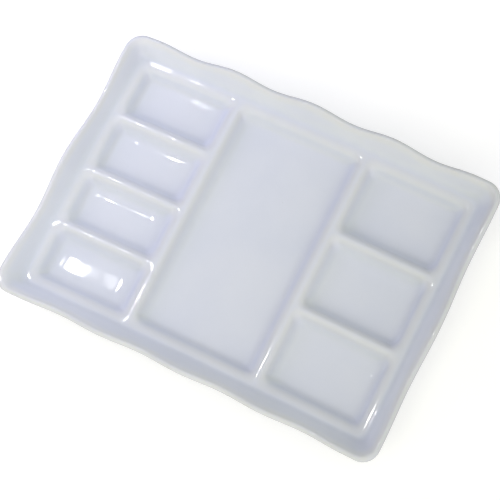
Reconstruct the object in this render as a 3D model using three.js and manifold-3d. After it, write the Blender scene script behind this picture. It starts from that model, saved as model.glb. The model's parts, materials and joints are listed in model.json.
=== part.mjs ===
// Porcelain mixing palette: one glazed casting with eight wells and a scalloped rim.
//
// Millimetres, +Z up. X runs along the length, Y along the width. The origin is the centre of
// the plane that the foot ring stands on. The four narrow wells are on the -X side, the three
// wider ones on the +X side, and the long mixing well lies between them.
//
// The casting is one loft that runs from the foot ring, up the flared outer wall, over the
// rounded lip, down the inner wall and onto the deck. The wells and the shallow recess inside
// the foot ring are then cut out of it.

import * as THREE from "three";
import { LoftGeometry } from "three/addons/geometries/LoftGeometry.js";
import { mergeGeometries, mergeVertices } from "three/addons/utils/BufferGeometryUtils.js";
import Module from "manifold-3d";

// Outline of the rim, before the scallops move it in and out.
const LENGTH = 259;
const WIDTH = 185.5;
const RIM_CORNER_RADIUS = 10;
const DECK_CORNER_RADIUS = 5;
const FOOT_CORNER_RADIUS = 7;

// Heights above the table.
const RIM_HEIGHT = 21.5;
const DECK_HEIGHT = 12;
const FLOOR_HEIGHT = 4.5;
const RECESS_HEIGHT = 1.2;

// Distances in from the rim's outline.
const DECK_INSET = 14.1;
const MOUTH_INSET = 14.6;
const FOOT_INSET = 17.3;
const FOOT_BEVEL = 1;
const FOOT_RING_WIDTH = 5;

// The lip is part of an upright ellipse, joined to the outer and the inner wall at these angles.
const LIP_HALF_WIDTH = 2.4;
const LIP_HALF_HEIGHT = 2.6;
const LIP_OUTER_JOIN = THREE.MathUtils.degToRad(195);
const LIP_INNER_JOIN = THREE.MathUtils.degToRad(58);

// Both walls of the rim are S curves. Each end sets off at an angle to the table, measured in
// the section, and keeps that direction for about the length given.
const FOOT_SET_OFF = { angle: THREE.MathUtils.degToRad(105), length: 6.2 };
const OUTER_LIP_SET_OFF = { angle: THREE.MathUtils.degToRad(-76), length: 4 };
const INNER_LIP_SET_OFF = { angle: THREE.MathUtils.degToRad(-34), length: 4.2 };
const DECK_SET_OFF = { angle: THREE.MathUtils.degToRad(180), length: 4.5 };

// Scallops: four dips along each long side and two along each short side. A crest stands
// further out and higher than a dip, and the corners stay level with the crests.
const LONG_SIDE_WAVELENGTH = 55.7;
const SHORT_SIDE_WAVELENGTH = 80.8;
const LONG_SIDE_LAST_CREST = 2 * LONG_SIDE_WAVELENGTH;
const SHORT_SIDE_LAST_CREST = SHORT_SIDE_WAVELENGTH;
const SCALLOP_HEIGHT = 1.5;
const SCALLOP_REACH = 0.8;
const LONG_SIDE_BOW = 0.4;
const SHORT_SIDE_BOW = 0.8;

// Dividers between the wells, by the flat crest left on top of each.
const LEFT_DIVIDER_X = -45.5;
const RIGHT_DIVIDER_X = 44;
const COLUMN_CREST = 3;
const ROW_CREST = 1.8;
const LEFT_ROWS = 4;
const MIDDLE_ROWS = 1;
const RIGHT_ROWS = 3;

// Well wall: a convex edge, a straight slope and a concave fillet onto the floor.
const MOUTH_ANGLE = THREE.MathUtils.degToRad(14);
const WALL_ANGLE = THREE.MathUtils.degToRad(60);
const EDGE_RADIUS = 2.6;
const FILLET_RADIUS = 6;
const MOUTH_CORNER_RADIUS = 5;
const FLOOR_CORNER_RADIUS = 6.5;
const CUTTER_OVERRUN = 0.4;

// How finely the curves are divided.
const CORNER_STEPS = 5;
const LONG_SIDE_STEPS = 36;
const SHORT_SIDE_STEPS = 18;
const WALL_STEPS = 6;
const LIP_STEPS = 7;
const EDGE_STEPS = 3;
const FILLET_STEPS = 5;

const GLAZE = new THREE.MeshStandardMaterial({
  name: "white_glaze",
  color: 0xe6e9f3,
  roughness: 0.1,
  metalness: 0,
});

const wasm = await Module();
wasm.setup();

// The corners of a rounded rectangle, anticlockwise from +X +Y, as signs of x and y.
const CORNERS = [
  [1, 1],
  [-1, 1],
  [-1, -1],
  [1, -1],
];

// A point on an outline: where it is, and the unit vector that points straight out of it.
function outlinePoint(x, y, outX, outY) {
  return { position: new THREE.Vector2(x, y), outward: new THREE.Vector2(outX, outY) };
}

// A rounded rectangle as outline points, anticlockwise. Each corner is an arc, and the side
// that follows it is divided into sideSteps(i) equal steps.
function roundedRectangle(halfX, halfY, radius, sideSteps) {
  const points = [];
  CORNERS.forEach(([signX, signY], corner) => {
    const centreX = signX * (halfX - radius);
    const centreY = signY * (halfY - radius);
    for (let i = 0; i <= CORNER_STEPS; i++) {
      const angle = ((corner + i / CORNER_STEPS) * Math.PI) / 2;
      const outX = Math.cos(angle);
      const outY = Math.sin(angle);
      points.push(outlinePoint(centreX + radius * outX, centreY + radius * outY, outX, outY));
    }
    const start = points[points.length - 1];
    const [nextX, nextY] = CORNERS[(corner + 1) % CORNERS.length];
    const endX = nextX * (halfX - radius) + radius * start.outward.x;
    const endY = nextY * (halfY - radius) + radius * start.outward.y;
    const end = new THREE.Vector2(endX, endY);
    for (let i = 1; i < sideSteps(corner); i++) {
      const place = start.position.clone().lerp(end, i / sideSteps(corner));
      points.push({ position: place, outward: start.outward });
    }
  });
  return points;
}

// Sides 0 and 2 of the outline are the long ones, along X.
function rimSideSteps(side) {
  return side % 2 === 0 ? LONG_SIDE_STEPS : SHORT_SIDE_STEPS;
}

// The scallop at a point of the rim's outline: 1 on a crest, -1 in a dip.
function scallop(point) {
  const onLongSide = Math.abs(point.outward.y) > Math.abs(point.outward.x);
  const along = Math.abs(onLongSide ? point.position.x : point.position.y);
  const wavelength = onLongSide ? LONG_SIDE_WAVELENGTH : SHORT_SIDE_WAVELENGTH;
  const lastCrest = onLongSide ? LONG_SIDE_LAST_CREST : SHORT_SIDE_LAST_CREST;
  return Math.cos((2 * Math.PI * Math.min(along, lastCrest)) / wavelength);
}

// How far the middle of each side bulges out, falling to nothing at the corners.
function bow(point) {
  const alongX = point.position.x / (LENGTH / 2);
  const alongY = point.position.y / (WIDTH / 2);
  const longSide = LONG_SIDE_BOW * Math.abs(point.outward.y) * (1 - alongX * alongX);
  const shortSide = SHORT_SIDE_BOW * Math.abs(point.outward.x) * (1 - alongY * alongY);
  return Math.max(0, longSide + shortSide);
}

// The rim's outline, which every ring of the casting follows point by point.
const RIM = roundedRectangle(LENGTH / 2, WIDTH / 2, RIM_CORNER_RADIUS, rimSideSteps);

// The control point that makes a curve set off from start in the given direction.
function setOff(start, { angle, length }) {
  const step = new THREE.Vector2(length * Math.cos(angle), length * Math.sin(angle));
  return step.add(start);
}

// The casting's section, from the foot to the deck. Each point is (inset, height).
function castingSection() {
  const footEdge = new THREE.Vector2(FOOT_INSET + FOOT_BEVEL, 0);
  const footTop = new THREE.Vector2(FOOT_INSET, FOOT_BEVEL);
  const deckEdge = new THREE.Vector2(DECK_INSET, DECK_HEIGHT);
  const lip = new THREE.EllipseCurve(
    LIP_HALF_WIDTH,
    RIM_HEIGHT - LIP_HALF_HEIGHT,
    LIP_HALF_WIDTH,
    LIP_HALF_HEIGHT,
    LIP_OUTER_JOIN,
    LIP_INNER_JOIN,
    true,
  );
  const lipStart = lip.getPoint(0);
  const lipEnd = lip.getPoint(1);
  const outerWall = new THREE.CubicBezierCurve(
    footTop,
    setOff(footTop, FOOT_SET_OFF),
    setOff(lipStart, OUTER_LIP_SET_OFF),
    lipStart,
  );
  const innerWall = new THREE.CubicBezierCurve(
    lipEnd,
    setOff(lipEnd, INNER_LIP_SET_OFF),
    setOff(deckEdge, DECK_SET_OFF),
    deckEdge,
  );
  return [
    footEdge,
    ...outerWall.getPoints(WALL_STEPS),
    ...lip.getPoints(LIP_STEPS).slice(1),
    ...innerWall.getPoints(WALL_STEPS).slice(1),
  ];
}

// The corner radius of the ring at a point of the section, tightest at the deck.
function ringCornerRadius({ x: inset, y: height }) {
  if (height < DECK_HEIGHT) {
    return THREE.MathUtils.mapLinear(height, 0, DECK_HEIGHT, FOOT_CORNER_RADIUS, RIM_CORNER_RADIUS);
  }
  const share = Math.min(1, inset / DECK_INSET);
  return THREE.MathUtils.lerp(RIM_CORNER_RADIUS, DECK_CORNER_RADIUS, share);
}

// One ring of the casting. The scallops and the bow fade out between the rim and the deck.
function castingRing(sectionPoint) {
  const { x: inset, y: height } = sectionPoint;
  const radius = ringCornerRadius(sectionPoint);
  const ring = roundedRectangle(LENGTH / 2 - inset, WIDTH / 2 - inset, radius, rimSideSteps);
  const fade = THREE.MathUtils.smoothstep(height, DECK_HEIGHT, RIM_HEIGHT);
  return ring.map(({ position, outward }, i) => {
    const reach = fade * (SCALLOP_REACH * scallop(RIM[i]) + bow(RIM[i]));
    const place = position.clone().addScaledVector(outward, reach);
    return new THREE.Vector3(place.x, place.y, height + fade * SCALLOP_HEIGHT * scallop(RIM[i]));
  });
}

// A closed geometry as a solid that can be cut. Only the positions of its vertices are kept.
function solidOf(geometry) {
  const bare = new THREE.BufferGeometry().copy(geometry);
  bare.deleteAttribute("normal");
  bare.deleteAttribute("uv");
  const merged = mergeVertices(bare);
  const mesh = new wasm.Mesh({
    numProp: 3,
    vertProperties: merged.attributes.position.array,
    triVerts: new Uint32Array(merged.index.array),
  });
  return new wasm.Manifold(mesh);
}

// A solid's surface as a geometry that can be drawn.
function geometryOf(solid) {
  const mesh = solid.getMesh();
  const geometry = new THREE.BufferGeometry();
  geometry.setAttribute("position", new THREE.BufferAttribute(mesh.vertProperties, 3));
  geometry.setIndex(new THREE.BufferAttribute(mesh.triVerts, 1));
  geometry.computeVertexNormals();
  return geometry;
}

// The casting before the wells are cut: the lofted skin closed by a flat deck.
function castingBlank() {
  const rings = castingSection().map(castingRing);
  const skin = new LoftGeometry(rings, { capStart: true });
  const deckOutline = new THREE.Shape(rings[rings.length - 1]);
  const deck = new THREE.ShapeGeometry(deckOutline).translate(0, 0, DECK_HEIGHT);
  return solidOf(mergeGeometries([skin, deck]));
}

// The wall of a well as points (run in from the mouth, height), from the floor up.
function wellSection() {
  const floorToSlope = FILLET_RADIUS * (1 - Math.cos(WALL_ANGLE));
  const edgeDrop = EDGE_RADIUS * (Math.cos(MOUTH_ANGLE) - Math.cos(WALL_ANGLE));
  const edgeRun = EDGE_RADIUS * (Math.sin(WALL_ANGLE) - Math.sin(MOUTH_ANGLE));
  const slopeDrop = DECK_HEIGHT - FLOOR_HEIGHT - floorToSlope - edgeDrop;
  const filletRun = FILLET_RADIUS * Math.sin(WALL_ANGLE);
  const floorRun = edgeRun + slopeDrop / Math.tan(WALL_ANGLE) + filletRun;
  const points = [];
  for (let i = 0; i <= FILLET_STEPS; i++) {
    const angle = (WALL_ANGLE * i) / FILLET_STEPS;
    const run = floorRun - FILLET_RADIUS * Math.sin(angle);
    points.push(new THREE.Vector2(run, FLOOR_HEIGHT + FILLET_RADIUS * (1 - Math.cos(angle))));
  }
  for (let i = 0; i <= EDGE_STEPS; i++) {
    const angle = THREE.MathUtils.lerp(WALL_ANGLE, MOUTH_ANGLE, i / EDGE_STEPS);
    const run = EDGE_RADIUS * (Math.sin(angle) - Math.sin(MOUTH_ANGLE));
    const drop = EDGE_RADIUS * (Math.cos(MOUTH_ANGLE) - Math.cos(angle));
    points.push(new THREE.Vector2(run, DECK_HEIGHT - drop));
  }
  const overrun = new THREE.Vector2(-CUTTER_OVERRUN / Math.tan(MOUTH_ANGLE), CUTTER_OVERRUN);
  points.push(points[points.length - 1].clone().add(overrun));
  return points;
}

// The solid that cuts one well, from the rectangle of its mouth at deck height.
function wellCutter({ minX, maxX, minY, maxY }) {
  const section = wellSection();
  const floorRun = section[0].x;
  const rings = section.map(({ x: run, y: height }) => {
    const share = THREE.MathUtils.clamp(run / floorRun, 0, 1);
    const radius = THREE.MathUtils.lerp(MOUTH_CORNER_RADIUS, FLOOR_CORNER_RADIUS, share);
    const halfX = (maxX - minX) / 2 - run;
    const halfY = (maxY - minY) / 2 - run;
    return roundedRectangle(halfX, halfY, radius, () => 1).map(
      ({ position }) => new THREE.Vector3(position.x, position.y, height),
    );
  });
  const cutter = new LoftGeometry(rings, { capStart: true, capEnd: true });
  return solidOf(cutter.translate((minX + maxX) / 2, (minY + maxY) / 2, 0));
}

// The mouths of one column of wells, with a divider's crest between neighbours.
function columnOfWells(minX, maxX, rows) {
  const low = -WIDTH / 2 + MOUTH_INSET;
  const pitch = (WIDTH - 2 * MOUTH_INSET + ROW_CREST) / rows;
  return Array.from({ length: rows }, (_, row) => ({
    minX,
    maxX,
    minY: low + row * pitch,
    maxY: low + (row + 1) * pitch - ROW_CREST,
  }));
}

function allWells() {
  const edge = LENGTH / 2 - MOUTH_INSET;
  const halfCrest = COLUMN_CREST / 2;
  return [
    ...columnOfWells(-edge, LEFT_DIVIDER_X - halfCrest, LEFT_ROWS),
    ...columnOfWells(LEFT_DIVIDER_X + halfCrest, RIGHT_DIVIDER_X - halfCrest, MIDDLE_ROWS),
    ...columnOfWells(RIGHT_DIVIDER_X + halfCrest, edge, RIGHT_ROWS),
  ];
}

// The solid that hollows the underside, leaving the foot ring standing around it.
function recessCutter() {
  const inset = FOOT_INSET + FOOT_BEVEL + FOOT_RING_WIDTH;
  const sections = [
    [inset - FOOT_BEVEL, -FOOT_BEVEL],
    [inset + RECESS_HEIGHT, RECESS_HEIGHT],
  ];
  const rings = sections.map(([ringInset, height]) =>
    roundedRectangle(
      LENGTH / 2 - ringInset,
      WIDTH / 2 - ringInset,
      FOOT_CORNER_RADIUS,
      () => 1,
    ).map(({ position }) => new THREE.Vector3(position.x, position.y, height)),
  );
  return solidOf(new LoftGeometry(rings, { capStart: true, capEnd: true }));
}

function paletteBody() {
  let solid = castingBlank();
  for (const well of allWells()) {
    solid = solid.subtract(wellCutter(well));
  }
  solid = solid.subtract(recessCutter());
  const mesh = new THREE.Mesh(geometryOf(solid), GLAZE);
  mesh.name = "palette_body";
  return mesh;
}

const palette = new THREE.Group();
palette.name = "mixing_palette";
palette.add(paletteBody());

export default palette;
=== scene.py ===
"""A glazed porcelain mixing palette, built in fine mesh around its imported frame.

Shape work is in millimetres in the frame of the CAD part and is scaled to metres at the end.
Front is -y, back is +y, left is -x and right is +x.
"""

import json
import math

import bpy
import numpy as np
from mathutils import Matrix, Vector


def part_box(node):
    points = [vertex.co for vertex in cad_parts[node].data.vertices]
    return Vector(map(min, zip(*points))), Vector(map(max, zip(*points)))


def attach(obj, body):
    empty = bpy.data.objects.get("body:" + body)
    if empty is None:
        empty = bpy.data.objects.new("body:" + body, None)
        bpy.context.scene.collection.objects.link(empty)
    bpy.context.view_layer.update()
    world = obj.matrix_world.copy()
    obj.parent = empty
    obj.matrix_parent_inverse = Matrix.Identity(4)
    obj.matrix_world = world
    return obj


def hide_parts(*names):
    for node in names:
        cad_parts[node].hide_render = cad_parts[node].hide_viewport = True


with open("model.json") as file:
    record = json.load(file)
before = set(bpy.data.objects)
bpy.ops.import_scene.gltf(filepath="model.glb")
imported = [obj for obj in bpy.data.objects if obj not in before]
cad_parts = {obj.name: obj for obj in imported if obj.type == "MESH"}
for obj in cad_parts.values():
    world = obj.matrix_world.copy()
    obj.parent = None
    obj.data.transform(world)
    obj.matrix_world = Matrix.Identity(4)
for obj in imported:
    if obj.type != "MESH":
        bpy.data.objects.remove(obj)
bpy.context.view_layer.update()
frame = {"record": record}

MM = 0.001
NODE = "palette_body"

# Scallops and the outward bow of each side. CREST_SPREAD is how far the outermost crests stand
# past the plain outline of the rim, at the ends and at the long sides.
LONG_SIDE_WAVELENGTH = 55.7
SHORT_SIDE_WAVELENGTH = 80.8
SCALLOP_HEIGHT = 1.5
SCALLOP_REACH = 0.8
LONG_SIDE_BOW = 0.4
SHORT_SIDE_BOW = 0.8
CREST_SPREAD = np.array([1.34, 1.0])

# Rim outline and heights, before the scallops.
LOW, HIGH = (np.array(corner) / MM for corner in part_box(NODE))
HALF = (HIGH - LOW)[:2] / 2 - CREST_SPREAD
RIM_HEIGHT = HIGH[2] - SCALLOP_HEIGHT
RIM_CORNER_RADIUS = 10
DECK_CORNER_RADIUS = 5
FOOT_CORNER_RADIUS = 7
DECK_HEIGHT = 12
FLOOR_HEIGHT = 4.5
RECESS_HEIGHT = 1.2

# Section, by distance in from the rim's outline. A handle is (direction in degrees, length).
DECK_INSET = 13.0
FOOT_INSET = 17.3
FOOT_BEVEL = 1
FOOT_RING_WIDTH = 5
LIP_HALF_WIDTH = 2.0
LIP_HALF_HEIGHT = 2.3
LIP_OUTER_JOIN = math.radians(195)
LIP_INNER_JOIN = math.radians(58)
DECK_HANDLE = (180, 4.5)
LIP_INNER_HANDLE = (-34, 4.2)
LIP_OUTER_HANDLE = (-76, 4)
FOOT_HANDLE = (105, 6.2)
# Points of the foot ring: (distance in from its outer or inner edge, height).
RING_OUTER_EDGE = [(-0.7, 0.35), (0, 0), (0.4, 0)]
RING_INNER_EDGE = [(-0.6, 0), (-0.2, 0.05), (0.4, 0.5), (1.1, 1.0), (2.2, RECESS_HEIGHT)]

# Wells: the stated openings are the clear spaces above the flat floors.
OPENING_TO_MOUTH = 8.8
EDGE_START = -1.6
FLOOR_START = 13.5
DISH_SINE = math.sin(math.radians(3.2))
# Wall between two wells, and wall that backs onto the rim: where the edge starts and ends,
# where the fillet starts and ends, and the steepest slope.
CRISP_WALL = (-1.4, 2.2, 3.6, 9.3, math.sin(math.radians(58)))
SOFT_WALL = (EDGE_START, 4.6, 6, 12.5, math.sin(math.radians(50)))
EDGE_POWER = 1.3
EDGE_EASE = 0.3
FILLET_POWER = 1.3
SOFT_REACH = (16, 25)
# The right wall of every well is softened too, blending into its neighbours round the corners.
END_WALL_SOFTNESS = 0.75
END_WALL_BLEND = 14
BOWL_DEPTH = 0.22
MOUTH_CORNER_RADIUS = 5
FLOOR_CORNER_RADIUS = 7
WALL_TABLE_STEPS = 600
HALVINGS = 18

# Glaze masks as (middle, reach): the ridges and the fillets by run into a well, the lip by
# height, the foot of the rim by inset. Then how thin the glaze runs on the ridges and the lip.
RIDGE_BAND = (1.0, 4.2)
FILLET_BAND = (5, 3.4)
LIP_BAND = (RIM_HEIGHT, 4.5)
RIM_FOOT_BAND = (DECK_INSET - 2.5, 3.5)
RIDGE_THINNESS = 0.55
LIP_THINNESS = 0.8

# Warp of firing: pulls of the rim, of the wells, and of both together.
RIM_LEFT_PULL = 1.2
RIM_LEFT_SKEW = 2.2
RIM_RIGHT_BULGE = 0.3
RIM_FRONT_SKEW = 0.3
WELLS_LEFT_BULGE = 1.1
WELLS_CORNER_PULL = 3.0
WELLS_BACKWARD_SHIFT = 0.3
BACKWARD_SHIFT = 0.4
LENGTHWISE_BEND = 1.2
CORNER_PULL = 1.7
CORNER_PULL_POWER = 5
# Shifts of the wells that die out round one place: size, then middle and reach as shares of
# HALF.
DIVIDER_SHIFT = (0.6, 0.34, 0.4)
FRONT_WELLS_SHIFT = (1.0, -0.4, 0.5)

# Mesh density.
LINES_ACROSS = 150
LINES_ALONG = 150
DENSITY_SAMPLES = 4000
WALL_MIDDLE = 3
FINE_REACH = 12.6
FINE_BOOST = 3.6
INNER_WALL_STEPS = 22
LIP_STEPS = 18
OUTER_WALL_STEPS = 18


def smooth(t):
    """0 to 1 with no corner at either end."""
    t = np.clip(t, 0, 1)
    return t * t * t * (t * (6 * t - 15) + 10)


def bump(value, middle, reach):
    """1 at middle, 0 beyond reach on either side."""
    return smooth(1 - np.abs(value - middle) / reach)


# ---------------------------------------------------------------- wells


def read_wells():
    """Each well's mouth as (centre, half size), from the openings in the record."""
    wells = []
    for opening in frame["record"]["physics"]["openings"]:
        low, high = (np.array(corner[:2]) / MM for corner in opening["box_m"])
        wells.append(((low + high) / 2, (high - low) / 2 + OPENING_TO_MOUTH))
    return wells


WELLS = read_wells()


def wall_table(edge_start, edge_end, slope_end, fillet_end, wall_sine):
    """Run in from the mouth against drop below the deck, as two arrays: a crowned edge, a steep
    slope and a fillet, then a shallow dish that dies out on the floor."""
    run = np.linspace(edge_start, FLOOR_START, WALL_TABLE_STEPS)
    edge = np.clip((run - edge_start) / (edge_end - edge_start), 0, 1)
    edge = edge**EDGE_POWER * (1 + EDGE_EASE - EDGE_EASE * edge)
    fillet = 1 - np.clip((run - slope_end) / (fillet_end - slope_end), 0, 1)
    dish = np.clip((FLOOR_START - run) / (FLOOR_START - fillet_end), 0, 1)
    sine = edge * (DISH_SINE * dish + (wall_sine - DISH_SINE) * fillet**FILLET_POWER)
    slope = sine / np.sqrt(1 - sine**2)
    drop = np.concatenate([[0], np.cumsum((slope[1:] + slope[:-1]) / 2 * np.diff(run))])
    return run, drop * (DECK_HEIGHT - FLOOR_HEIGHT - BOWL_DEPTH / 2) / drop[-1]


CRISP_TABLE = wall_table(*CRISP_WALL)
SOFT_TABLE = wall_table(*SOFT_WALL)


def run_into_well(points, centre, half):
    """How far in from a well's mouth each point lies: negative outside, capped on the floor."""
    offset = np.abs(points - centre)
    low = np.full(len(points), EDGE_START - 1.0)
    high = np.full(len(points), float(FLOOR_START))
    for _ in range(HALVINGS):
        run = (low + high) / 2
        share = np.clip(run / FLOOR_START, 0, 1)
        radius = MOUTH_CORNER_RADIUS + share * (FLOOR_CORNER_RADIUS - MOUTH_CORNER_RADIUS)
        beyond = offset - (half - run[:, None] - radius[:, None])
        outside = np.hypot(*np.maximum(beyond, 0).T) + np.minimum(beyond.max(1), 0) > radius
        high = np.where(outside, run, high)
        low = np.where(outside, low, run)
    return (low + high) / 2


def nearest_wall(offset, half):
    """Each point's distance from the nearest wall of a well, and the direction across it."""
    beyond = np.abs(offset) - half
    return np.abs(beyond.max(1)), np.eye(2)[beyond.argmax(1)]


def well_drop(points):
    """How far the surface lies below the deck, where its ridges and fillets are, and the
    direction across the nearest ridge."""
    inset = (HALF - np.abs(points)).min(1)
    by_the_rim = 1 - smooth((inset - SOFT_REACH[0]) / (SOFT_REACH[1] - SOFT_REACH[0]))
    drop = np.zeros(len(points))
    ridge = np.zeros(len(points))
    fillet = np.zeros(len(points))
    nearest = np.full(len(points), np.inf)
    across = np.zeros((len(points), 2))
    for centre, half in WELLS:
        run = run_into_well(points, centre, half)
        offset = points - centre
        gap = offset[:, 0] - half[0] - np.abs(offset[:, 1]) + half[1]
        soft = np.maximum(by_the_rim, END_WALL_SOFTNESS * smooth(0.5 + gap / END_WALL_BLEND))
        crisp_drop = np.interp(run, *CRISP_TABLE, left=0)
        soft_drop = np.interp(run, *SOFT_TABLE, left=0)
        bowl = BOWL_DEPTH * np.clip(1 - (offset / half) ** 2, 0, 1).prod(1)
        drop = np.maximum(drop, crisp_drop + soft * (soft_drop - crisp_drop) + bowl)
        ridge = np.maximum(ridge, bump(run, *RIDGE_BAND))
        fillet = np.maximum(fillet, bump(run, *FILLET_BAND))
        distance, direction = nearest_wall(offset, half)
        across[distance < nearest] = direction[distance < nearest]
        nearest = np.minimum(nearest, distance)
    return drop, ridge, fillet, across


# ---------------------------------------------------------------- mesh layout


def graded_lines(half, features, count):
    """Positions from -half to half, close together near the features."""
    fine = np.linspace(-half, half, DENSITY_SAMPLES)
    density = np.ones_like(fine)
    for feature in features:
        density = np.maximum(density, 1 + FINE_BOOST * bump(fine, feature, FINE_REACH))
    total = np.concatenate([[0], np.cumsum((density[1:] + density[:-1]) / 2)])
    return np.interp(np.linspace(0, total[-1], count), total, fine)


def wall_places(axis):
    """Where the walls of the wells cross an axis."""
    places = set()
    for centre, half in WELLS:
        places.add(round(float(centre[axis] - half[axis]) + WALL_MIDDLE, 1))
        places.add(round(float(centre[axis] + half[axis]) - WALL_MIDDLE, 1))
    return places


def stations():
    """The grid inside the deck's edge, as each point's share of the straight part and of the
    corner, so that stretch() can fit it to any rounded rectangle."""
    deck = HALF - DECK_INSET
    x = graded_lines(deck[0], wall_places(0), LINES_ALONG)
    y = graded_lines(deck[1], wall_places(1), LINES_ACROSS)
    grid = np.stack(np.meshgrid(x, y, indexing="ij"), -1)
    straight = deck - DECK_CORNER_RADIUS
    share = np.clip(grid / straight, -1, 1)
    past = np.clip((np.abs(grid) - straight) / DECK_CORNER_RADIUS, 0, 1)
    corner = np.sign(grid) * past * np.sqrt(1 - past[..., ::-1] ** 2 / 2)
    return share, corner


def stretch(share, corner, half, radius):
    return share * (half - radius) + radius * corner


def perimeter(count_x, count_y):
    """Indices (i, j) of the grid's edge, anticlockwise from the front left corner."""
    i = [*range(count_x - 1), *[count_x - 1] * (count_y - 1)]
    i += [*range(count_x - 1, 0, -1), *[0] * (count_y - 1)]
    j = [*[0] * (count_x - 1), *range(count_y - 1)]
    j += [*[count_y - 1] * (count_x - 1), *range(count_y - 1, 0, -1)]
    return np.array(i), np.array(j)


# ---------------------------------------------------------------- rim section


def bezier(points, steps):
    t = np.linspace(0, 1, steps + 1)[:, None]
    a, b, c, d = (np.array(p, float) for p in points)
    return (1 - t) ** 3 * a + 3 * (1 - t) ** 2 * t * b + 3 * (1 - t) * t**2 * c + t**3 * d


def lip_point(angle):
    inset = LIP_HALF_WIDTH * (1 + math.cos(angle))
    height = RIM_HEIGHT - LIP_HALF_HEIGHT + LIP_HALF_HEIGHT * math.sin(angle)
    return np.array([inset, height])


def set_off(start, handle):
    degrees, length = handle
    angle = math.radians(degrees)
    return start + length * np.array([math.cos(angle), math.sin(angle)])


def foot_points():
    """(inset, height) under the foot ring and up into the recess."""
    outer = FOOT_INSET + FOOT_BEVEL
    inner = outer + FOOT_RING_WIDTH
    points = [(outer + step, height) for step, height in RING_OUTER_EDGE]
    points.append(((outer + inner) / 2, 0))
    points += [(inner + step, height) for step, height in RING_INNER_EDGE]
    return points


def section():
    """(inset, height) from just outside the deck's edge, over the lip, to the recess."""
    deck_edge = np.array([DECK_INSET, DECK_HEIGHT])
    inner_end = lip_point(LIP_INNER_JOIN)
    outer_end = lip_point(LIP_OUTER_JOIN)
    foot_top = np.array([FOOT_INSET, FOOT_BEVEL])
    inner_curve = [
        deck_edge,
        set_off(deck_edge, DECK_HANDLE),
        set_off(inner_end, LIP_INNER_HANDLE),
        inner_end,
    ]
    outer_curve = [
        outer_end,
        set_off(outer_end, LIP_OUTER_HANDLE),
        set_off(foot_top, FOOT_HANDLE),
        foot_top,
    ]
    inner = bezier(inner_curve, INNER_WALL_STEPS)
    angles = np.linspace(LIP_INNER_JOIN, LIP_OUTER_JOIN, LIP_STEPS + 1)
    lip = np.array([lip_point(angle) for angle in angles])
    outer = bezier(outer_curve, OUTER_WALL_STEPS)
    return np.concatenate([inner[1:], lip[1:], outer[1:], foot_points()])


def ring_radius(inset, height):
    if height < DECK_HEIGHT:
        rise = max(0.0, height / DECK_HEIGHT)
        return FOOT_CORNER_RADIUS + rise * (RIM_CORNER_RADIUS - FOOT_CORNER_RADIUS)
    sunk = min(1.0, inset / DECK_INSET)
    return RIM_CORNER_RADIUS + sunk * (DECK_CORNER_RADIUS - RIM_CORNER_RADIUS)


def ring_masks(inset, height):
    """Thin glaze, pooled glaze and bare clay on one ring of the section."""
    thin = LIP_THINNESS * float(bump(height, *LIP_BAND))
    pool = float(bump(inset, *RIM_FOOT_BAND)) if height > DECK_HEIGHT else 0.0
    bare = 1.0 if height < FOOT_BEVEL and inset > FOOT_INSET else 0.0
    return [thin, pool, bare]


def scallop(rim, outward):
    """1 on a crest, -1 in a dip, held at the last crest round each corner."""
    on_long = np.abs(outward[:, 1]) > np.abs(outward[:, 0])
    along = np.abs(np.where(on_long, rim[:, 0], rim[:, 1]))
    wavelength = np.where(on_long, LONG_SIDE_WAVELENGTH, SHORT_SIDE_WAVELENGTH)
    last = np.where(on_long, 2 * LONG_SIDE_WAVELENGTH, SHORT_SIDE_WAVELENGTH)
    return np.cos(2 * np.pi * np.minimum(along, last) / wavelength)


def bow(rim, outward):
    along = 1 - (rim / HALF) ** 2
    long_side = LONG_SIDE_BOW * np.abs(outward[:, 1]) * along[:, 0]
    short_side = SHORT_SIDE_BOW * np.abs(outward[:, 0]) * along[:, 1]
    return np.maximum(0, long_side + short_side)


# ---------------------------------------------------------------- the whole surface


def ring_quads(upper, lower):
    """Faces that join two closed rings of vertex indices, facing out."""
    corners = [upper, np.roll(upper, -1), np.roll(lower, -1), lower]
    return np.stack(corners, 1)[:, ::-1]


def grid_quads(index, flip):
    a, b, c, d = index[:-1, :-1], index[1:, :-1], index[1:, 1:], index[:-1, 1:]
    order = [a, d, c, b] if flip else [a, b, c, d]
    return np.stack([corner.ravel() for corner in order], 1)


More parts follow.
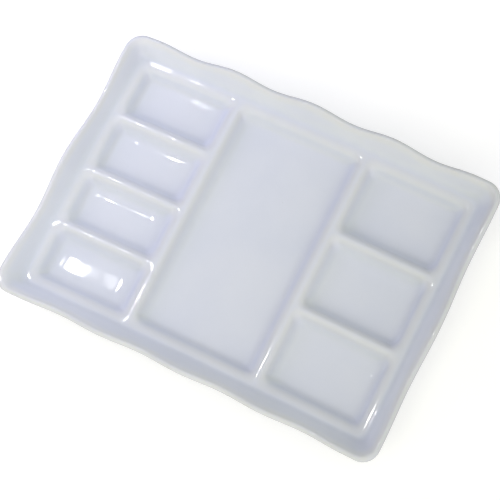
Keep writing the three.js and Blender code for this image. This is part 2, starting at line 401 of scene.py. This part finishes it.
def build_surface():
    """Points in millimetres, quads, and per point the masks and the direction across a ridge."""
    share, corner = stations()
    count_x, count_y = share.shape[:2]
    edge_i, edge_j = perimeter(count_x, count_y)
    edge_share, edge_corner = share[edge_i, edge_j], corner[edge_i, edge_j]
    outward = edge_corner / np.linalg.norm(edge_corner, axis=1, keepdims=True)
    rim = stretch(edge_share, edge_corner, HALF, RIM_CORNER_RADIUS)
    wave = scallop(rim, outward)
    swell = bow(rim, outward)

    top = stretch(share, corner, HALF - DECK_INSET, DECK_CORNER_RADIUS).reshape(-1, 2)
    drop, ridge, fillet, top_across = well_drop(top)
    points = [np.column_stack([top, DECK_HEIGHT - drop])]
    masks = [np.column_stack([RIDGE_THINNESS * ridge, fillet, np.zeros(len(top))])]
    across = [top_across]

    top_index = np.arange(count_x * count_y).reshape(count_x, count_y)
    faces = [grid_quads(top_index, flip=False)]
    previous = top_index[edge_i, edge_j]
    start = count_x * count_y
    for inset, height in section():
        fade = float(smooth((height - DECK_HEIGHT) / (RIM_HEIGHT - DECK_HEIGHT)))
        flat = stretch(edge_share, edge_corner, HALF - inset, ring_radius(inset, height))
        flat = flat + fade * (SCALLOP_REACH * wave + swell)[:, None] * outward
        points.append(np.column_stack([flat, height + fade * SCALLOP_HEIGHT * wave]))
        masks.append(np.tile(ring_masks(inset, height), (len(flat), 1)))
        across.append(outward)
        ring = np.arange(start, start + len(flat))
        faces.append(ring_quads(previous, ring))
        previous = ring
        start += len(flat)

    under = stretch(share, corner, HALF - section()[-1][0], FOOT_CORNER_RADIUS)
    inner = np.ones((count_x, count_y), bool)
    inner[edge_i, edge_j] = False
    under_index = np.full((count_x, count_y), -1)
    under_index[edge_i, edge_j] = previous
    under_index[inner] = np.arange(start, start + inner.sum())
    flat = under[inner]
    points.append(np.column_stack([flat, np.full(len(flat), RECESS_HEIGHT)]))
    masks.append(np.zeros((len(flat), 3)))
    across.append(np.tile([1.0, 0.0], (len(flat), 1)))
    faces.append(grid_quads(under_index, flip=True))
    return tuple(np.concatenate(part) for part in (points, faces, masks, across))


def kiln_warp(points):
    """The slight bend and pull of firing, which moves the rim and the wells a little apart."""
    u, v = np.clip(points[:, :2] / HALF, -1, 1).T
    inset = (HALF - np.abs(points[:, :2])).min(1)
    rim = smooth(1 - inset / DECK_INSET)
    left, right = np.maximum(-u, 0), np.maximum(u, 0)
    arch = 1 - v * v
    corner = np.clip((v - u) / 2, 0, 1) ** CORNER_PULL_POWER
    rim_x = left**2 * (RIM_LEFT_PULL + RIM_LEFT_SKEW * v) + RIM_RIGHT_BULGE * right**3 * arch
    rim_y = -RIM_FRONT_SKEW * u * (v < 0)
    divider_size, *divider_place = DIVIDER_SHIFT
    wells_x = WELLS_CORNER_PULL * corner - WELLS_LEFT_BULGE * left * arch
    wells_x = wells_x - divider_size * bump(u, *divider_place)
    front_size, *front_place = FRONT_WELLS_SHIFT
    wells_y = WELLS_BACKWARD_SHIFT + front_size * bump(v, *front_place)
    both_y = BACKWARD_SHIFT - LENGTHWISE_BEND * u * u - CORNER_PULL * corner
    shift = np.zeros_like(points)
    shift[:, 0] = rim * rim_x + (1 - rim) * wells_x
    shift[:, 1] = both_y + rim * rim_y + (1 - rim) * wells_y
    return points + shift


def make_object(name, points, faces):
    mesh = bpy.data.meshes.new(name)
    mesh.from_pydata((points * MM).tolist(), [], faces.tolist())
    mesh.update()
    mesh.shade_smooth()
    made = bpy.data.objects.new(name, mesh)
    bpy.context.scene.collection.objects.link(made)
    return made


def make_casting():
    points, faces, masks, across = build_surface()
    casting = make_object("palette_casting", kiln_warp(points), faces)
    attributes = casting.data.attributes
    for name, mask in zip(["thin", "pool", "bare"], masks.T):
        values = mask.astype(np.float32)
        attributes.new(name, "FLOAT", "POINT").data.foreach_set("value", values)
    across = np.column_stack([across, np.zeros(len(across))]).astype(np.float32)
    attributes.new("across", "FLOAT_VECTOR", "POINT").data.foreach_set("vector", across.ravel())
    return casting


# ---------------------------------------------------------------- glaze


class Nodes:
    """A small helper that adds nodes to a tree and joins them."""

    def __init__(self, tree):
        self.tree = tree
        tree.nodes.clear()

    def add(self, kind, inputs=None, **settings):
        node = self.tree.nodes.new(kind)
        for key, value in settings.items():
            setattr(node, key, value)
        for key, value in (inputs or {}).items():
            self.put(node.inputs[key], value)
        return node

    def put(self, socket, value):
        if isinstance(value, bpy.types.NodeSocket):
            self.tree.links.new(value, socket)
        else:
            socket.default_value = value

    def math(self, operation, a, b=0.0):
        return self.add("ShaderNodeMath", {0: a, 1: b}, operation=operation).outputs[0]

    def mix(self, share, a, b):
        node = self.add("ShaderNodeMix", data_type="RGBA")
        self.put(node.inputs["Factor"], share)
        self.put(node.inputs["A"], a)
        self.put(node.inputs["B"], b)
        return node.outputs["Result"]

    def ramp(self, value, low, high, from_value=0.0, to_value=1.0):
        node = self.add(
            "ShaderNodeMapRange",
            {0: value, 1: low, 2: high, 3: from_value, 4: to_value},
            interpolation_type="SMOOTHSTEP",
        )
        return node.outputs[0]

    def noise(self, coords, size_mm, detail=2.0, roughness=0.5):
        inputs = {
            "Vector": coords,
            "Scale": 1 / (size_mm * MM),
            "Detail": detail,
            "Roughness": roughness,
        }
        return self.add("ShaderNodeTexNoise", inputs).outputs["Fac"]

    def attribute(self, name, output="Fac"):
        return self.add("ShaderNodeAttribute", attribute_name=name).outputs[output]


BLUE_WHITE = (0.640, 0.672, 0.758, 1)
BLUE_WHITE_PALE = (0.672, 0.700, 0.776, 1)
GREY_WHITE = (0.665, 0.688, 0.748, 1)
POOLED_GLAZE = (0.618, 0.657, 0.756, 1)
THIN_GLAZE = (0.672, 0.674, 0.668, 1)
GRAIN_SHADE = (0.60, 0.63, 0.70, 1)
IRON_SPECK = (0.30, 0.26, 0.22, 1)
BISQUE_DARK = (0.66, 0.63, 0.58, 1)
BISQUE_PALE = (0.74, 0.715, 0.675, 1)
TABLE_RUB = (0.42, 0.40, 0.38, 1)
SPECK_SPACING = 7
IRON_SHARE = 0.2
PINHOLE_SHARE = 0.3

# Relief in millimetres.
RIPPLE_HEIGHT = 0.018
PEEL_HEIGHT = 0.0016
PINHOLE_DEPTH = 0.02
GRIT_HEIGHT = 0.06


def glaze_colour(n, coords, run_off, mottle, grain):
    """Drifting blue-white, deeper where the glaze pools and cream where it has run off."""
    cloud = n.noise(coords, 38, detail=3)
    drift = n.noise(coords, 90, detail=1)
    colour = n.mix(n.ramp(cloud, 0.3, 0.7), BLUE_WHITE, BLUE_WHITE_PALE)
    colour = n.mix(n.ramp(drift, 0.35, 0.65, 0, 0.25), colour, GREY_WHITE)
    pooled = n.math("MULTIPLY", n.attribute("pool"), n.ramp(mottle, 0.3, 0.7, 0.35, 0.7))
    colour = n.mix(pooled, colour, POOLED_GLAZE)
    colour = n.mix(run_off, colour, THIN_GLAZE)
    return n.mix(n.ramp(grain, 0.3, 0.7, 0, 0.10), colour, GRAIN_SHADE)


def iron_specks_and_pinholes(n, coords):
    """Two masks of small dots, each in its share of the cells of a cell pattern."""
    cells = n.add(
        "ShaderNodeTexVoronoi",
        {"Vector": coords, "Scale": 1 / (SPECK_SPACING * MM), "Randomness": 1.0},
        feature="F1",
    )
    lot = n.add("ShaderNodeSeparateColor", {0: cells.outputs["Color"]}).outputs[0]
    dot = n.ramp(cells.outputs["Distance"], 0.022, 0.034, 1, 0)
    iron = n.math("MULTIPLY", dot, n.math("GREATER_THAN", lot, 1 - IRON_SHARE))
    pinhole = n.math("MULTIPLY", dot, n.math("LESS_THAN", lot, PINHOLE_SHARE))
    return iron, pinhole


def glaze_roughness(n, coords, crest):
    """A mirror-like sheen with faint scuffs, a little duller on the crests."""
    stretched = n.add(
        "ShaderNodeMapping", {"Vector": coords, "Rotation": (0, 0, 0.5), "Scale": (1, 14, 1)}
    ).outputs[0]
    scuff = n.ramp(n.noise(stretched, 4, detail=5, roughness=0.65), 0.62, 0.8, 0, 0.03)
    sheen = n.ramp(n.noise(coords, 16, detail=3), 0.3, 0.7, 0.020, 0.032)
    roughness = n.math("ADD", sheen, scuff)
    return n.math("ADD", roughness, n.math("MULTIPLY", crest, 0.055))


def relief(n, coords, pinhole, unglazed):
    """The surface normal, with long ripples, fine peel, pinholes and the grit of bare clay."""
    ripple = n.math("MULTIPLY", n.noise(coords, 13, detail=1.5), RIPPLE_HEIGHT)
    peel = n.math("MULTIPLY", n.noise(coords, 2.2, detail=2), PEEL_HEIGHT)
    holes = n.math("MULTIPLY", pinhole, -PINHOLE_DEPTH)
    grit = n.math("MULTIPLY", n.noise(coords, 0.35, detail=2), unglazed)
    height = n.math("ADD", n.math("ADD", ripple, peel), holes)
    height = n.math("ADD", height, n.math("MULTIPLY", grit, GRIT_HEIGHT))
    node = n.add("ShaderNodeBump", {"Strength": 1.0, "Distance": MM, "Height": height})
    return node.outputs[0]


def glaze_material():
    """Blue-white glaze over porcelain, and bare clay on the foot ring. On the crests the sheen
    is spread across the ridge and stays tight along it, which keeps points of light short."""
    material = bpy.data.materials.new("white_glaze")
    material.use_nodes = True
    n = Nodes(material.node_tree)
    coords = n.add("ShaderNodeTexCoord").outputs["Object"]
    thin = n.attribute("thin")
    crest = n.ramp(thin, 0.12, 0.45)
    mottle = n.noise(coords, 6, detail=4)
    grain = n.noise(coords, 0.8, detail=3)
    run_off = n.math("MULTIPLY", thin, n.ramp(mottle, 0.25, 0.75, 0.45, 0.85))
    colour = glaze_colour(n, coords, run_off, mottle, grain)
    iron, pinhole = iron_specks_and_pinholes(n, coords)
    colour = n.mix(n.math("MULTIPLY", iron, 0.35), colour, IRON_SPECK)
    glaze_rough = glaze_roughness(n, coords, crest)

    ragged = n.ramp(n.noise(coords, 3.5, detail=3), 0.3, 0.7, -0.25, 0.25)
    unglazed = n.ramp(n.math("ADD", n.attribute("bare"), ragged), 0.55, 0.65)
    rubbed = n.noise(coords, 12, detail=5, roughness=0.7)
    bisque = n.mix(n.ramp(grain, 0.3, 0.7), BISQUE_DARK, BISQUE_PALE)
    bisque = n.mix(n.ramp(rubbed, 0.5, 0.75, 0, 0.5), bisque, TABLE_RUB)
    bisque_rough = n.ramp(rubbed, 0.4, 0.75, 0.8, 0.55)

    roughness = n.add("ShaderNodeMix", {0: unglazed, 2: glaze_rough, 3: bisque_rough})
    shader = n.add(
        "ShaderNodeBsdfPrincipled",
        {
            "Base Color": n.mix(unglazed, colour, bisque),
            "Roughness": roughness.outputs[0],
            "IOR": 1.5,
            "Normal": relief(n, coords, pinhole, unglazed),
            "Anisotropic": crest,
            "Tangent": n.attribute("across", "Vector"),
        },
    )
    n.add("ShaderNodeOutputMaterial", {"Surface": shader.outputs[0]})
    return material


palette = make_casting()
palette.data.materials.append(glaze_material())
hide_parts(NODE)
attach(palette, "root")

# ---------------------------------------------------------------- stage

FLOOR_REACH = 4000
FLOOR_GAP = 0.2
FLOOR_GLOW = 0.5
FLOOR_GREY = (0.62, 0.62, 0.62, 1)
FLOOR_GREY_PALE = (0.64, 0.64, 0.64, 1)


def floor_material():
    """Pale paper, which glows for the camera only, so that it looks nearly white."""
    material = bpy.data.materials.new("pale_floor")
    material.use_nodes = True
    n = Nodes(material.node_tree)
    coords = n.add("ShaderNodeTexCoord").outputs["Object"]
    seen = n.add("ShaderNodeLightPath").outputs["Is Camera Ray"]
    shader = n.add(
        "ShaderNodeBsdfPrincipled",
        {
            "Base Color": n.mix(n.noise(coords, 60, detail=4), FLOOR_GREY, FLOOR_GREY_PALE),
            "Roughness": 0.9,
            "Emission Color": (1, 1, 1, 1),
            "Emission Strength": n.math("MULTIPLY", seen, FLOOR_GLOW),
        },
    )
    n.add("ShaderNodeOutputMaterial", {"Surface": shader.outputs[0]})
    return material


def make_floor():
    corners = [(-1, -1), (1, -1), (1, 1), (-1, 1)]
    sheet = [(FLOOR_REACH * x, FLOOR_REACH * y, -FLOOR_GAP) for x, y in corners]
    floor = make_object("floor", np.array(sheet, float), np.array([[0, 1, 2, 3]]))
    floor.data.materials.append(floor_material())
    return floor


make_floor()

# ---------------------------------------------------------------- light

# Soft glows of the room: azimuth, elevation, colour. Each falls off from its middle as a power
# of the cosine.
ROOM_GLOWS = [
    (0, 90, (1.01, 1.03, 0.97)),
    (45, 14, (1.28, 1.31, 0.98)),
    (270, 14, (0.96, 0.99, 0.34)),
    (315, 14, (1.20, 1.11, 1.57)),
]
GLOW_POWER = 4
BACKDROP = (0.97, 0.97, 0.97, 1)

# Softboxes close to the palette: name, place, diameters (sideways, up and down), radiance.
SOFTBOXES = [
    ("softbox_left", (-0.32, 0, 0.15), (0.2, 0.2), (2.63, 2.41, 2.84)),
    ("softbox_back", (-0.3, 0.2, 0.25), (0.25, 0.25), (1.77, 1.79, 2.98)),
    ("softbox_front", (-0.05, -0.35, 0.3), (0.3, 0.3), (1.88, 1.85, 1.91)),
]

# Two lamps over the table, each with a bright bulb, which make the patches and points of light
# in the glaze: name, place, diameters (sideways, up and down), radiance.
LAMPS = [
    ("lamp_a", (-0.604, 0.140, 1.543), (0.048, 0.030), 60),
    ("lamp_a_bulb", (-0.604, 0.140, 1.543), (0.012, 0.010), 2400),
    ("lamp_b", (-0.552, 0.146, 1.543), (0.054, 0.032), 4),
    ("lamp_b_bulb", (-0.546, 0.146, 1.543), (0.015, 0.009), 1000),
]


def toward(azimuth, elevation):
    azimuth, elevation = math.radians(azimuth), math.radians(elevation)
    level = math.cos(elevation)
    return Vector((level * math.cos(azimuth), level * math.sin(azimuth), math.sin(elevation)))


def room_glow(n, direction, azimuth, elevation, colour):
    facing = n.add(
        "ShaderNodeVectorMath",
        {0: direction, 1: toward(azimuth, elevation)},
        operation="DOT_PRODUCT",
    ).outputs["Value"]
    share = n.math("POWER", n.math("MAXIMUM", facing, 0), GLOW_POWER)
    return n.add("ShaderNodeVectorMath", {0: colour, 3: share}, operation="SCALE").outputs[0]


def studio_world():
    """The room's glows, with a plain pale backdrop for the camera."""
    world = bpy.data.worlds.new("studio")
    world.use_nodes = True
    n = Nodes(world.node_tree)
    direction = n.add("ShaderNodeTexCoord").outputs["Generated"]
    total = (0, 0, 0)
    for glow in ROOM_GLOWS:
        terms = {0: total, 1: room_glow(n, direction, *glow)}
        total = n.add("ShaderNodeVectorMath", terms, operation="ADD").outputs[0]
    seen = n.add("ShaderNodeLightPath").outputs["Is Camera Ray"]
    colour = n.mix(seen, total, BACKDROP)
    background = n.add("ShaderNodeBackground", {"Color": colour, "Strength": 1.0})
    n.add("ShaderNodeOutputWorld", {"Surface": background.outputs[0]})
    return world


def oval_light(name, location, diameters, radiance, mirrored):
    """An oval light that faces the palette and stays out of the picture. Its radiance is a
    colour. A mirrored one only shows in the glaze, any other one only lights the surface."""
    strength = max(radiance)
    light = bpy.data.lights.new(name, "AREA")
    light.shape = "ELLIPSE"
    light.size, light.size_y = diameters
    light.color = [channel / strength for channel in radiance]
    light.energy = strength * math.pi**2 * diameters[0] * diameters[1] / 4
    lamp = bpy.data.objects.new(name, light)
    bpy.context.scene.collection.objects.link(lamp)
    lamp.location = location
    lamp.rotation_euler = (-Vector(location)).to_track_quat("-Z", "Y").to_euler()
    lamp.visible_camera = False
    lamp.visible_glossy = mirrored
    lamp.visible_diffuse = not mirrored


bpy.context.scene.world = studio_world()
for name, location, diameters, radiance in SOFTBOXES:
    oval_light(name, location, diameters, radiance, mirrored=False)
for name, location, diameters, radiance in LAMPS:
    oval_light(name, location, diameters, (radiance,) * 3, mirrored=True)

# ---------------------------------------------------------------- camera

AIM = Vector((5.27, -6.03, 18.9)) * MM
DISTANCE = 1094.4 * MM
AZIMUTH = -36.5
ELEVATION = 73.03
ROLL = math.radians(-27.73)
SENSOR_WIDTH = 36
LENS = 129.1


def make_camera():
    data = bpy.data.cameras.new("camera")
    data.sensor_width = SENSOR_WIDTH
    data.lens = LENS
    camera = bpy.data.objects.new("camera", data)
    bpy.context.scene.collection.objects.link(camera)
    back = toward(AZIMUTH, ELEVATION)
    upright = (-back).to_track_quat("-Z", "Y").to_matrix().to_4x4()
    eye = Matrix.Translation(AIM + DISTANCE * back)
    camera.matrix_world = eye @ upright @ Matrix.Rotation(ROLL, 4, "Z")
    return camera


bpy.context.scene.camera = make_camera()
bpy.context.scene.view_settings.view_transform = "Standard"
bpy.context.scene.cycles.use_denoising = True
